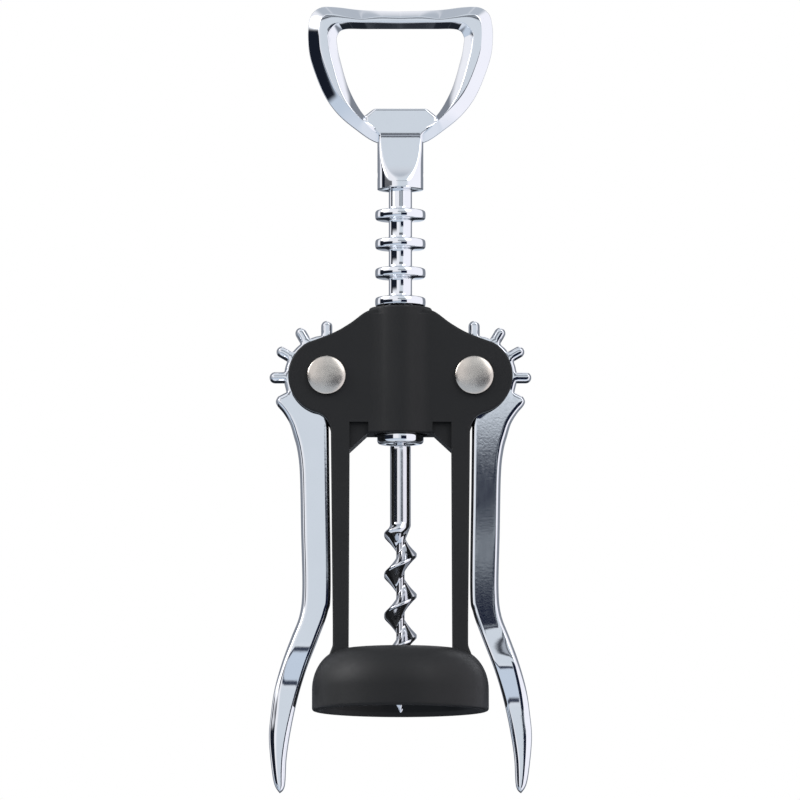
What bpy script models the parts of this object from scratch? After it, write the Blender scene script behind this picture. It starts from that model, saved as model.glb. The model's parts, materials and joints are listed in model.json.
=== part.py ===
"""Lever (wing) corkscrew: a moulded frame, two geared levers and a ring-toothed spindle.

Metres, +Z up. The origin is on the worm's axis, in the plane of the bell's rim, and the
bottle's mouth enters there from below. +X runs from one lever's pivot to the other and the
front faces -Y.
"""
import math

import bmesh
import bpy
from mathutils import Matrix, Vector

# Clearance that every pair of touching pieces keeps.
GAP = 0.0003

# Bell: the cup that sits on the bottle.
BELL_RADIUS = 0.0208
BELL_ROOF_RADIUS = 0.0130
BELL_HEIGHT = 0.0145
BELL_WALL_TOP = 0.0050
BELL_SEAT_HEIGHT = 0.0112
BELL_MOUTH_RADIUS = 0.0189
BELL_SEAT_RADIUS = 0.0156
BELL_LIP = 0.0008
WORM_HOLE_RADIUS = 0.0046

# Legs, ears and housing.
LEG_INNER = 0.0120
LEG_INNER_LOW = 0.0122
LEG_OUTER = 0.0164
LEG_OUTER_LOW = 0.0159
LEG_BOTTOM = 0.0128
PLATE_HALF = 0.0054
PLATE_ROUNDING = 0.0004
SLOT_HALF = 0.0036
SLOT_RADIUS = 0.0141
EAR_RADIUS = 0.00905
EAR_FILLET = 0.0045
SHOULDER_ANGLE = math.radians(60)
SHOULDER = ((0.0045, 0.0949), (0.0080, 0.0940), (0.0116, 0.0914), (0.0151, 0.0893),
            (0.0187, 0.0878))
HOUSING_RADIUS = 0.00745
HOUSING_BOTTOM = 0.0652
HOUSING_TOP = 0.0953
HOUSING_WEB_TOP = 0.0938
HOUSING_EDGE = 0.0007
HOUSING_FILLET = 0.0070
BORE_RADIUS = 0.0063
GUSSET_BOTTOM = 0.0614
GUSSET_INNER = 0.0079
POCKET_INNER = 0.00755
POCKET_OUTER = 0.0121
POCKET_TOP = 0.0678
POCKET_DEPTH = 0.0010

# Pivots and gearing.
PIVOT_X = 0.0174
PIVOT_Z = 0.0788
PITCH_RADIUS = 0.0132
TOOTH_STEP = math.radians(30)
TOOTH_COUNT = 7
TOOTH_WIDTH = 0.00265
TOOTH_TIP_RADIUS = 0.0135
TOOTH_ROOT_RADIUS = 0.0101
RACK_PITCH = PITCH_RADIUS * TOOTH_STEP
SHOULDER_VALLEY = math.radians(-20)

# Levers.
LEVER_HALF = 0.0026
LEVER_ROUNDING = 0.0006
LEVER_OUTER_EDGE = ((0.0289, 0.0743), (0.0294, 0.0732), (0.0290, 0.0721), (0.0276, 0.0704),
                    (0.0261, 0.0679), (0.0252, 0.0650), (0.0243, 0.0615), (0.0237, 0.0558),
                    (0.0234, 0.0422), (0.0231, 0.0290), (0.0237, 0.0227), (0.0257, 0.0173),
                    (0.0278, 0.0116), (0.0296, 0.0051), (0.0305, -0.0011), (0.0309, -0.0062),
                    (0.0304, -0.0125), (0.0296, -0.0173), (0.0283, -0.0194))
LEVER_INNER_EDGE = ((0.0283, -0.0194), (0.0271, -0.0176), (0.0267, -0.0111), (0.0257, -0.0044),
                    (0.0241, 0.0030), (0.0221, 0.0097), (0.0193, 0.0170), (0.0171, 0.0232),
                    (0.0164, 0.0287), (0.0167, 0.0530), (0.0169, 0.0692))

# Rivets and washers.
RIVET_HOLE_RADIUS = 0.0025
RIVET_PIN_RADIUS = 0.0022
RIVET_HEAD_RADIUS = 0.0045
RIVET_HEAD_HEIGHT = 0.0013
RIVET_END = 0.0064
WASHER_RADIUS = 0.0068
WASHER_THICKNESS = 0.0004

# Spindle: rack, end washer, worm and their pins.
ROD_RADIUS = 0.00275
RING_RADIUS = 0.0060
RING_THICKNESS = 0.0023
RING_EDGE = 0.0007
RINGS_BELOW_PIVOT = 2
RINGS_ABOVE_PIVOT = 6
RACK_OFFSET = 0.00065
RACK_BOTTOM = 0.0659
RACK_TOP = 0.1300
END_WASHER_RADIUS = 0.0055
END_WASHER_BOTTOM = 0.0630
END_WASHER_TOP = 0.0656
TAIL_RADIUS = 0.0014
TAIL_HOLE_RADIUS = 0.0017
TAIL_TOP = 0.0790
TAIL_HOLE_TOP = 0.0793
SHANK_RADIUS = 0.00245
SHANK_BOTTOM = 0.0440
SHANK_TOP = 0.0627
WORM_RADIUS = 0.00385
WORM_CORE_RADIUS = 0.0010
WORM_PITCH = 0.0096
WORM_START = 0.0016
WORM_FLANK = 0.38
WORM_TIP = -0.0004
WORM_TAPER = 0.0090
WORM_ROOT_BLEND = 0.0030
PIN_RADIUS = 0.0007
PIN_HOLE_RADIUS = 0.0010
WORM_PIN_Z = 0.0725
HANDLE_PIN_Z = 0.1270

# Handle.
NECK_RADIUS = 0.00545
NECK_BOTTOM = 0.1236
NECK_TOP = 0.1395
NECK_CUT_BOTTOM = 0.1256
NECK_CUT_TOP = 0.1377
SOCKET_RADIUS = 0.00305
SOCKET_TOP = 0.1303
WEB_HALF = 0.0022
RIM_HALF = 0.0036
RIM_CHAMFER = 0.0013
HANDLE_RIM = ((0.0, 0.1662), (0.0090, 0.1665), (0.0150, 0.1672), (0.0187, 0.1672),
              (0.0209, 0.1657), (0.0217, 0.1633), (0.0219, 0.1595), (0.0212, 0.1545),
              (0.0183, 0.1468), (0.0149, 0.1418), (0.0104, 0.1379), (0.0057, 0.1349),
              (0.0, 0.1340))
HANDLE_OPENING = ((0.0, 0.1621), (0.0080, 0.1621), (0.0134, 0.1620), (0.0150, 0.1604),
                  (0.0150, 0.1584), (0.0143, 0.1547), (0.0120, 0.1472), (0.0082, 0.1409),
                  (0.0040, 0.1392), (0.0, 0.1388))
LIP_TOP = 0.1427
LIP_HALF_WIDTH = 0.00655
LIP_CORNER = (0.0090, 0.1408)
WEB_BOTTOM = 0.1362

COLLECTION = "lever_corkscrew"
CUTTERS = "cutters"
TURNED_STEPS = 24
BELL_STEPS = 36
WASHER_EDGE = 0.0004
OVERCUT = 0.001


def clear_scene():
    for obj in list(bpy.data.objects):
        bpy.data.objects.remove(obj, do_unlink=True)


def collection(name):
    group = bpy.data.collections.new(name)
    bpy.context.scene.collection.children.link(group)
    return group


def material(name, colour, roughness, metallic):
    mat = bpy.data.materials.new(name)
    mat.use_nodes = True
    shader = mat.node_tree.nodes["Principled BSDF"]
    shader.inputs["Base Color"].default_value = (*colour, 1.0)
    shader.inputs["Roughness"].default_value = roughness
    shader.inputs["Metallic"].default_value = metallic
    return mat


def link(obj, group_name):
    bpy.data.collections[group_name].objects.link(obj)
    if group_name == CUTTERS:
        obj.hide_render = True
        obj.display_type = "WIRE"
    return obj


def mesh_object(name, bm, group_name):
    mesh = bpy.data.meshes.new(name)
    bm.to_mesh(mesh)
    bm.free()
    return link(bpy.data.objects.new(name, mesh), group_name)


def evaluated_mesh(obj):
    """The object's mesh as the viewport shows it: welded, flat faces joined, and facing out."""
    bpy.context.view_layer.update()
    depsgraph = bpy.context.evaluated_depsgraph_get()
    mesh = bpy.data.meshes.new_from_object(obj.evaluated_get(depsgraph))
    bm = bmesh.new()
    bm.from_mesh(mesh)
    bmesh.ops.remove_doubles(bm, verts=bm.verts, dist=2e-6)
    bmesh.ops.dissolve_degenerate(bm, edges=bm.edges, dist=1e-6)
    bmesh.ops.dissolve_limit(bm, angle_limit=math.radians(0.1), verts=bm.verts, edges=bm.edges)
    bmesh.ops.recalc_face_normals(bm, faces=bm.faces)
    bm.to_mesh(mesh)
    bm.free()
    return mesh


def turned(name, profile, group_name, steps=TURNED_STEPS):
    """A solid of revolution about Z. The profile runs down its outer side, as (radius, z)."""
    mesh = bpy.data.meshes.new(name)
    points = [(radius, 0.0, z) for radius, z in profile]
    closed = profile[0][0] > 1e-6
    edges = [(i, i + 1) for i in range(len(points) - 1)]
    if closed:
        edges.append((len(points) - 1, 0))
    mesh.from_pydata(points, edges, [])
    obj = link(bpy.data.objects.new(name, mesh), group_name)
    screw = obj.modifiers.new("turn", "SCREW")
    screw.axis = "Z"
    screw.steps = steps
    screw.render_steps = steps
    screw.use_merge_vertices = True
    screw.merge_threshold = 1e-6
    return obj


def cylinder(name, radius, low, high, group_name, axis="Z", at=(0.0, 0.0, 0.0), sides=TURNED_STEPS):
    """A cylinder from low to high along one axis, through the point at."""
    bm = bmesh.new()
    middle = Matrix.Translation((0.0, 0.0, (low + high) / 2))
    bmesh.ops.create_cone(bm, cap_ends=True, segments=sides, radius1=radius, radius2=radius,
                          depth=high - low, matrix=middle)
    turn = {"Z": Matrix(), "X": Matrix.Rotation(math.pi / 2, 4, "Y"),
            "Y": Matrix.Rotation(-math.pi / 2, 4, "X")}[axis]
    bmesh.ops.transform(bm, matrix=turn, verts=bm.verts)
    obj = mesh_object(name, bm, group_name)
    obj.location = at
    return obj


def box(name, low, high, group_name):
    bm = bmesh.new()
    bmesh.ops.create_cube(bm, size=1.0)
    low, high = Vector(low), Vector(high)
    for vert in bm.verts:
        vert.co = Vector([a + (b - a) * (c + 0.5) for a, b, c in zip(low, high, vert.co)])
    return mesh_object(name, bm, group_name)


def plate(name, outlines, half, group_name, rounding=0.0, resolution=0, upright=True):
    """A flat solid from closed outlines: upright in XZ about y = 0, or lying in XY about z = 0."""
    curve = bpy.data.curves.new(name, "CURVE")
    curve.dimensions = "2D"
    curve.fill_mode = "BOTH"
    curve.extrude = half - rounding
    curve.bevel_depth = rounding
    curve.bevel_resolution = resolution
    curve.offset = -rounding
    for outline in outlines:
        spline = curve.splines.new("POLY")
        spline.points.add(len(outline) - 1)
        for point, (u, v) in zip(spline.points, outline):
            point.co = (u, v, 0.0, 1.0)
        spline.use_cyclic_u = True
    obj = link(bpy.data.objects.new(name, curve), group_name)
    mesh = evaluated_mesh(obj)
    if upright:
        mesh.transform(Matrix.Rotation(math.pi / 2, 4, "X"))
    bpy.data.objects.remove(obj, do_unlink=True)
    return link(bpy.data.objects.new(name, mesh), group_name)


def arc(centre, radius, start, end, steps):
    """Points on a circle from one angle to another, both ends included."""
    angles = [start + (end - start) * i / steps for i in range(steps + 1)]
    return [(centre[0] + radius * math.cos(a), centre[1] + radius * math.sin(a)) for a in angles]


def polar(radius, angle):
    return (radius * math.cos(angle), radius * math.sin(angle))


def circle(centre, radius, sides=20):
    return arc(centre, radius, 0.0, 2 * math.pi, sides)[:-1]


def smooth(points, steps):
    """A Catmull-Rom curve through the points, with each span cut into steps."""
    guard = [points[0], *points, points[-1]]
    path = []
    for a, b, c, d in zip(guard, guard[1:], guard[2:], guard[3:]):
        for i in range(steps):
            t = i / steps
            path.append(tuple(
                0.5 * (2 * q + (r - p) * t + (2 * p - 5 * q + 4 * r - s) * t ** 2
                       + (3 * q - p - 3 * r + s) * t ** 3)
                for p, q, r, s in zip(a, b, c, d)))
    path.append(points[-1])
    return path


def mirrored(outline):
    """A symmetric outline from its right half, which starts and ends on the axis."""
    return outline + [(-x, z) for x, z in reversed(outline[1:-1])]


def boolean(obj, operation, other):
    modifier = obj.modifiers.new(f"{operation.lower()}_{other.name}", "BOOLEAN")
    modifier.operation = operation
    modifier.solver = "EXACT"
    modifier.object = other


def mirror_x(obj):
    modifier = obj.modifiers.new("mirror", "MIRROR")
    modifier.use_axis = (True, False, False)
    modifier.merge_threshold = 1e-6
    return obj


def finish(obj, mat, parent=None):
    """Bake the modifiers, shade the piece smooth and give it its material and parent."""
    mesh = evaluated_mesh(obj)
    obj.modifiers.clear()
    obj.data = mesh
    mesh.materials.clear()
    mesh.materials.append(mat)
    mesh.shade_smooth()
    mesh.set_sharp_from_angle(angle=math.radians(30))
    if parent is not None:
        obj.parent = parent
        obj.matrix_parent_inverse = parent.matrix_world.inverted()
    return obj


def axis_empty(name, location):
    empty = bpy.data.objects.new(name, None)
    empty.location = location
    link(empty, COLLECTION)
    bpy.context.view_layer.update()
    return empty


# Frame ---------------------------------------------------------------------------------------

def bell_profile():
    """Closed section of the bell's wall, from the worm's hole out and down, then back inside."""
    shoulder = [(BELL_ROOF_RADIUS + (BELL_RADIUS - BELL_ROOF_RADIUS) * math.sin(a),
                 BELL_WALL_TOP + (BELL_HEIGHT - BELL_WALL_TOP) * math.cos(a))
                for a in [math.radians(90 * i / 7) for i in range(8)]]
    lip = arc((BELL_RADIUS - BELL_LIP, BELL_LIP), BELL_LIP, 0.0, -math.pi / 2, 3)
    inside = [(BELL_MOUTH_RADIUS, 0.0), (BELL_MOUTH_RADIUS - BELL_LIP, BELL_LIP),
              (BELL_SEAT_RADIUS, BELL_SEAT_HEIGHT)]
    return ([(WORM_HOLE_RADIUS, BELL_HEIGHT)] + shoulder + lip + inside
            + [(WORM_HOLE_RADIUS, BELL_SEAT_HEIGHT)])


def fork_outline():
    """One side of the fork: shoulder, ear, leg and gusset, as (x, z)."""
    pivot = (PIVOT_X, PIVOT_Z)
    fillet_x = LEG_OUTER + EAR_FILLET
    reach = EAR_RADIUS + EAR_FILLET
    fillet_angle = -math.acos((fillet_x - PIVOT_X) / reach)
    fillet_z = PIVOT_Z + reach * math.sin(fillet_angle)
    ear = arc(pivot, EAR_RADIUS, SHOULDER_ANGLE, fillet_angle, 18)
    fillet = arc((fillet_x, fillet_z), EAR_FILLET, math.pi + fillet_angle, math.pi, 5)
    shoulder = smooth([*SHOULDER, ear[0]], 2)[:-1]
    leg = [(LEG_OUTER_LOW, LEG_BOTTOM), (LEG_INNER_LOW, LEG_BOTTOM), (LEG_INNER, GUSSET_BOTTOM)]
    inside = [(GUSSET_INNER, HOUSING_BOTTOM), (SHOULDER[0][0], HOUSING_BOTTOM)]
    return shoulder + ear + fillet[1:] + leg + inside


def pocket_outline():
    """The gusset between the housing and a leg, which lies back from the face of the fork."""
    low = GUSSET_BOTTOM - OVERCUT
    return [(POCKET_OUTER, POCKET_TOP), (POCKET_INNER, POCKET_TOP), (POCKET_INNER, low),
            (POCKET_OUTER, low)]


def housing_outline():
    """The housing's section in XY: a round with a fillet to each face of the fork."""
    reach = HOUSING_RADIUS + HOUSING_FILLET
    centre_y = PLATE_HALF + HOUSING_FILLET
    centre_x = math.sqrt(reach ** 2 - centre_y ** 2)
    blend = math.atan2(centre_y, centre_x)
    fillet = arc((centre_x, centre_y), HOUSING_FILLET, -math.pi / 2, blend - math.pi, 4)
    front = arc((0.0, 0.0), HOUSING_RADIUS, blend, math.pi - blend, 8)
    other = [(-x, y) for x, y in reversed(fillet)]
    upper = fillet + front[1:-1] + other
    return upper + [(-x, -y) for x, y in upper]


def make_frame(mat):
    frame = turned("frame", bell_profile(), COLLECTION, BELL_STEPS)
    rivet_hole = circle((PIVOT_X, PIVOT_Z), RIVET_HOLE_RADIUS)
    fork = mirror_x(plate("fork_sides", [fork_outline(), rivet_hole], PLATE_HALF, CUTTERS,
                          PLATE_ROUNDING))
    height = HOUSING_WEB_TOP - HOUSING_BOTTOM
    housing = plate("housing_block", [housing_outline()], height / 2, CUTTERS, upright=False)
    housing.location.z = HOUSING_BOTTOM + height / 2
    edge = HOUSING_RADIUS - HOUSING_EDGE
    collar = turned("housing_top", [(0.0, HOUSING_TOP), (edge, HOUSING_TOP),
                                    (HOUSING_RADIUS, HOUSING_TOP - HOUSING_EDGE),
                                    (HOUSING_RADIUS, HOUSING_WEB_TOP - HOUSING_FILLET / 2),
                                    (0.0, HOUSING_WEB_TOP - HOUSING_FILLET / 2)], CUTTERS)
    for piece in (fork, housing, collar):
        boolean(frame, "UNION", piece)
    bore = cylinder("bore", BORE_RADIUS, HOUSING_BOTTOM - OVERCUT, HOUSING_TOP + OVERCUT, CUTTERS)
    boolean(frame, "DIFFERENCE", bore)
    for side, sign in (("left", -1), ("right", 1)):
        at = (sign * PIVOT_X, 0.0, PIVOT_Z)
        slot = cylinder(f"{side}_slot", SLOT_RADIUS, -SLOT_HALF, SLOT_HALF, CUTTERS, "Y", at, 48)
        boolean(frame, "DIFFERENCE", slot)
    pocket = mirror_x(plate("front_pockets", [pocket_outline()], OVERCUT, CUTTERS))
    pocket.location.y = POCKET_DEPTH - PLATE_HALF - OVERCUT
    boolean(frame, "DIFFERENCE", pocket)
    return finish(frame, mat)


# Levers, rivets and washers ------------------------------------------------------------------

def tooth(angle):
    """One parallel-sided tooth with a round end, from root to root."""
    half_width = TOOTH_WIDTH / 2
    root_half = math.asin(half_width / TOOTH_ROOT_RADIUS)
    end = arc(polar(TOOTH_TIP_RADIUS - half_width, angle), half_width,
              angle - math.pi / 2, angle + math.pi / 2, 6)
    return [polar(TOOTH_ROOT_RADIUS, angle - root_half), *end,
            polar(TOOTH_ROOT_RADIUS, angle + root_half)]


def lever_outline():
    """The right lever about its pivot: pinion teeth, root, inner edge, tip, outer edge."""
    outline = []
    for i in range(TOOTH_COUNT):
        if i:
            outline.append(polar(TOOTH_ROOT_RADIUS, (i - 0.5) * TOOTH_STEP))
        outline += tooth(i * TOOTH_STEP)
    inner = [(x - PIVOT_X, z - PIVOT_Z) for x, z in smooth(LEVER_INNER_EDGE, 2)]
    outer = [(x - PIVOT_X, z - PIVOT_Z) for x, z in smooth(LEVER_OUTER_EDGE, 2)]
    last_root = math.atan2(outline[-1][1], outline[-1][0])
    arm_root = math.atan2(inner[-1][1], inner[-1][0])
    outline += arc((0.0, 0.0), TOOTH_ROOT_RADIUS, last_root % (2 * math.pi),
                   arm_root % (2 * math.pi), 6)[1:-1]
    outline += reversed(inner)
    outline += list(reversed(outer))[1:]
    outline.append(polar(TOOTH_ROOT_RADIUS, SHOULDER_VALLEY))
    return outline


def make_lever(side, sign, mat, pivot):
    outline = [(sign * x, z) for x, z in lever_outline()]
    lever = plate(f"{side}_lever", [outline, circle((0.0, 0.0), RIVET_HOLE_RADIUS)], LEVER_HALF,
                  COLLECTION, LEVER_ROUNDING)
    finish(lever, mat)
    lever.parent = pivot
    return lever


def dome(radius, height, base, steps=5):
    """Profile of a shallow dome over z = base, from its crown out to its edge."""
    edge = height * 0.35
    crown = height - edge
    angles = [math.radians(90 * i / steps) for i in range(steps + 1)]
    return [(radius * math.sin(a), base + edge + crown * math.cos(a)) for a in angles]


def make_rivet(side, sign, mat):
    """A pin with its head at the front, and the cap that closes it at the back."""
    at = (sign * PIVOT_X, 0.0, PIVOT_Z)
    face = PLATE_HALF + GAP
    head = dome(RIVET_HEAD_RADIUS, RIVET_HEAD_HEIGHT, face)
    pin = turned(f"{side}_rivet_pin", head + [(RIVET_HEAD_RADIUS, face), (RIVET_PIN_RADIUS, face),
                                              (RIVET_PIN_RADIUS, -RIVET_END), (0.0, -RIVET_END)],
                 COLLECTION)
    cap = turned(f"{side}_rivet_cap",
                 dome(RIVET_HEAD_RADIUS, RIVET_HEAD_HEIGHT + 4 * GAP, face)
                 + [(RIVET_HEAD_RADIUS, face), (RIVET_HOLE_RADIUS, face),
                    (RIVET_HOLE_RADIUS, RIVET_END + GAP), (0.0, RIVET_END + GAP)],
                 COLLECTION)
    for piece, turn in ((pin, math.pi / 2), (cap, -math.pi / 2)):
        finish(piece, mat)
        piece.rotation_euler = (turn, 0.0, 0.0)
        piece.location = at


def make_washer(name, y, mat, pivot):
    low = -WASHER_THICKNESS / 2
    ring = [(RIVET_HOLE_RADIUS, -low), (WASHER_RADIUS, -low), (WASHER_RADIUS, low),
            (RIVET_HOLE_RADIUS, low)]
    washer = turned(name, ring, COLLECTION)
    finish(washer, mat)
    washer.rotation_euler = (math.pi / 2, 0.0, 0.0)
    washer.location = (0.0, y, 0.0)
    washer.parent = pivot


# Spindle -------------------------------------------------------------------------------------

def ring_profile(z):
    """Outer side of one ring of the rack, from its top to its bottom."""
    top = z + RING_THICKNESS / 2
    low = z - RING_THICKNESS / 2
    edge = RING_RADIUS - RING_EDGE
    return [(ROD_RADIUS, top), (edge, top), (RING_RADIUS, top - RING_EDGE),
            (RING_RADIUS, low + RING_EDGE), (edge, low), (ROD_RADIUS, low)]


def make_rack(mat, spindle):
    first = PIVOT_Z + RACK_OFFSET
    heights = [first + RACK_PITCH * (i + 0.5)
               for i in range(-RINGS_BELOW_PIVOT, RINGS_ABOVE_PIVOT)]
    profile = [(0.0, RACK_TOP), (ROD_RADIUS, RACK_TOP)]
    for z in reversed(heights):
        profile += ring_profile(z)
    profile += [(ROD_RADIUS, RACK_BOTTOM), (TAIL_HOLE_RADIUS, RACK_BOTTOM),
                (TAIL_HOLE_RADIUS, TAIL_HOLE_TOP), (0.0, TAIL_HOLE_TOP)]
    rack = turned("rack", profile, COLLECTION, 18)
    for name, z in (("worm_pin_hole", WORM_PIN_Z), ("handle_pin_hole", HANDLE_PIN_Z)):
        reach = ROD_RADIUS + OVERCUT
        boolean(rack, "DIFFERENCE",
                cylinder(name, PIN_HOLE_RADIUS, -reach, reach, CUTTERS, "X", (0.0, 0.0, z), 12))
    finish(rack, mat, spindle)


def make_end_washer(mat, spindle):
    top, low = END_WASHER_TOP, END_WASHER_BOTTOM
    flat = END_WASHER_RADIUS - WASHER_EDGE
    ring = [(TAIL_HOLE_RADIUS, top), (flat, top), (END_WASHER_RADIUS, top - WASHER_EDGE),
            (END_WASHER_RADIUS, low + WASHER_EDGE), (flat, low), (TAIL_HOLE_RADIUS, low)]
    finish(turned("end_washer", ring, COLLECTION), mat, spindle)


def worm_radius(angle, z):
    """Radius of the auger: one helical flight on a thin core, fading at the shank and the tip."""
    turn = ((z + WORM_START) / WORM_PITCH - angle / (2 * math.pi) + 0.5) % 1.0 - 0.5
    ridge = max(0.0, 1.0 - abs(turn) / WORM_FLANK) ** 1.2
    swell = min(1.0, (SHANK_BOTTOM - z) / WORM_ROOT_BLEND)
    taper = min(1.0, (z - WORM_TIP) / WORM_TAPER)
    core = WORM_CORE_RADIUS + (SHANK_RADIUS - WORM_CORE_RADIUS) * (1 - swell)
    blade = core + (WORM_RADIUS - core) * ridge
    blade = SHANK_RADIUS + (blade - SHANK_RADIUS) * max(swell, 0.0)
    return max(blade * taper ** 0.6, 0.0001)


def make_worm(mat, spindle):
    """The auger is a finely ringed rod whose rings are moved out to the helical ridge."""
    rows = 46
    sides = 12
    bm = bmesh.new()
    bmesh.ops.create_cone(bm, cap_ends=True, segments=sides, radius1=1.0, radius2=1.0, depth=1.0)
    upright = [e for e in bm.edges if abs(e.verts[0].co.z - e.verts[1].co.z) > 0.5]
    bmesh.ops.subdivide_edges(bm, edges=upright, cuts=rows - 1)
    for vert in bm.verts:
        z = WORM_TIP + (SHANK_BOTTOM - WORM_TIP) * (vert.co.z + 0.5)
        angle = math.atan2(vert.co.y, vert.co.x)
        radius = worm_radius(angle, z)
        vert.co = Vector((radius * math.cos(angle), radius * math.sin(angle), z))
    worm = mesh_object("worm", bm, COLLECTION)
    shank = turned("worm_shank",
                   [(0.0, TAIL_TOP), (TAIL_RADIUS, TAIL_TOP), (TAIL_RADIUS, SHANK_TOP),
                    (SHANK_RADIUS, SHANK_TOP), (SHANK_RADIUS, SHANK_BOTTOM - OVERCUT / 2),
                    (0.0, SHANK_BOTTOM - OVERCUT / 2)], CUTTERS, 24)
    boolean(worm, "UNION", shank)
    reach = SHANK_RADIUS + OVERCUT
    boolean(worm, "DIFFERENCE", cylinder("worm_cross_hole", PIN_HOLE_RADIUS, -reach, reach, CUTTERS,
                                         "X", (0.0, 0.0, WORM_PIN_Z), 12))
    finish(worm, mat, spindle)


def make_pin(name, half_length, z, mat, spindle):
    finish(cylinder(name, PIN_RADIUS, -half_length, half_length, COLLECTION, "X", (0.0, 0.0, z), 12),
           mat, spindle)


def make_handle(mat, spindle):
    rim = mirrored(smooth(HANDLE_RIM, 2))
    opening = mirrored(smooth(HANDLE_OPENING, 2))
    handle = plate("handle", [rim, opening], RIM_HALF, COLLECTION, RIM_CHAMFER)
    web = plate("handle_web", [mirrored([(0.0, LIP_TOP), (LIP_HALF_WIDTH, LIP_TOP), LIP_CORNER,
                                         (0.0090, 0.1390), (0.0045, WEB_BOTTOM), (0.0, WEB_BOTTOM)])],
                WEB_HALF, CUTTERS)
    neck = cylinder("handle_neck", NECK_RADIUS, NECK_BOTTOM, NECK_TOP, CUTTERS)
    boolean(handle, "UNION", web)
    lean = math.atan2(NECK_RADIUS - WEB_HALF, NECK_CUT_TOP - NECK_CUT_BOTTOM)
    for name, sign in (("front_cut", -1), ("rear_cut", 1)):
        cut = box(name, (-0.012, 0.0, -0.003), (0.012, 0.010, 0.022), CUTTERS)
        cut.location = (0.0, sign * NECK_RADIUS, NECK_CUT_BOTTOM)
        cut.rotation_euler = (lean, 0.0, 0.0) if sign > 0 else (lean, 0.0, math.pi)
        boolean(neck, "DIFFERENCE", cut)
    boolean(handle, "UNION", neck)
    boolean(handle, "DIFFERENCE", cylinder("socket", SOCKET_RADIUS, NECK_BOTTOM - OVERCUT, SOCKET_TOP,
                                           CUTTERS))
    reach = NECK_RADIUS + OVERCUT
    boolean(handle, "DIFFERENCE", cylinder("neck_cross_hole", PIN_HOLE_RADIUS, -reach, reach, CUTTERS,
                                           "X", (0.0, 0.0, HANDLE_PIN_Z), 12))
    finish(handle, mat, spindle)


def main():
    clear_scene()
    collection(COLLECTION)
    collection(CUTTERS)
    nylon = material("black_nylon", (0.026, 0.027, 0.029), 0.55, 0.0)
    chrome = material("chrome", (0.80, 0.82, 0.85), 0.12, 1.0)
    nickel = material("satin_nickel", (0.62, 0.55, 0.48), 0.32, 1.0)
    steel = material("bright_steel", (0.70, 0.71, 0.73), 0.18, 1.0)
    make_frame(nylon)
    for side, sign in (("left", -1), ("right", 1)):
        pivot = axis_empty(f"{side}_pivot", (sign * PIVOT_X, 0.0, PIVOT_Z))
        make_lever(side, sign, chrome, pivot)
        make_rivet(side, sign, nickel)
        offset = LEVER_HALF + GAP + WASHER_THICKNESS / 2
        make_washer(f"{side}_front_washer", -offset, steel, pivot)
        make_washer(f"{side}_rear_washer", offset, steel, pivot)
    spindle = axis_empty("spindle_axis", (0.0, 0.0, END_WASHER_BOTTOM))
    make_rack(chrome, spindle)
    make_end_washer(chrome, spindle)
    make_worm(steel, spindle)
    make_pin("worm_pin", ROD_RADIUS - GAP / 2, WORM_PIN_Z, steel, spindle)
    make_handle(chrome, spindle)
    make_pin("handle_pin", NECK_RADIUS - GAP, HANDLE_PIN_Z, steel, spindle)


main()
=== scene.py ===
"""Lever corkscrew: detailed pieces, finishes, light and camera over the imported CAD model.

Metres, in the model's own frame: the origin is in the plane of the bell's rim, on the worm's
axis, +Z runs up along the worm, +X from the left lever's pivot to the right one's, and the
front faces -Y. Each detailed piece replaces its CAD solid and rides on the same body.
"""

import json
import math

import bmesh
import bpy
from mathutils import Matrix, Vector
from mathutils.geometry import delaunay_2d_cdt


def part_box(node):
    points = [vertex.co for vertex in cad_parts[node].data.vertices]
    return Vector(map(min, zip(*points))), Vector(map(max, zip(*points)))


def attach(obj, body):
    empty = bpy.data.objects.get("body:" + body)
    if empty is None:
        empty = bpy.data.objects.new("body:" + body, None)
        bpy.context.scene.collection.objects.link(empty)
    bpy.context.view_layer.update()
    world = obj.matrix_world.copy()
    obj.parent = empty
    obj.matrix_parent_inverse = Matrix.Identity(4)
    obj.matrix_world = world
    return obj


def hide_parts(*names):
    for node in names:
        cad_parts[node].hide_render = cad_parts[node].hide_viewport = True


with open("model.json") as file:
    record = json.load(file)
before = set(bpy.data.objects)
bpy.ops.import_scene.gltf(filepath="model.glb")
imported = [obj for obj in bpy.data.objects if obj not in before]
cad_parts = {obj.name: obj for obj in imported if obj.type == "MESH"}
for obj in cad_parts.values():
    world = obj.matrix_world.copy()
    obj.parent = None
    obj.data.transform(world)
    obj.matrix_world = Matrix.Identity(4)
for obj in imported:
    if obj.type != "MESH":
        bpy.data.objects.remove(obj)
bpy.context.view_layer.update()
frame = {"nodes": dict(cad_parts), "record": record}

# Places that come from the CAD model.
JOINTS = {joint["name"]: joint for joint in frame["record"]["behaviour"]["joints"]}
PIVOT_X, _, PIVOT_Z = JOINTS["right_lever_swing"]["pos_m"]
RACK_LOW, RACK_HIGH = (corner[2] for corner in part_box("rack"))
WORM_TIP, TAIL_TOP = (corner[2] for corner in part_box("worm"))
NECK_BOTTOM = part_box("handle")[0][2]
HANDLE_PIN_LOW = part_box("handle_pin")[0][2]
LEVER_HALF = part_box("right_lever")[1][1]
WASHER_LOW, WASHER_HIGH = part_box("end_washer")

# Bell.
BELL_RADIUS = 0.0208
BELL_ROOF_RADIUS = 0.0130
BELL_HEIGHT = 0.0145
BELL_WALL_TOP = 0.0050
BELL_SEAT_HEIGHT = 0.0112
BELL_MOUTH_RADIUS = 0.0189
BELL_SEAT_RADIUS = 0.0156
WORM_HOLE_RADIUS = 0.0046

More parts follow.
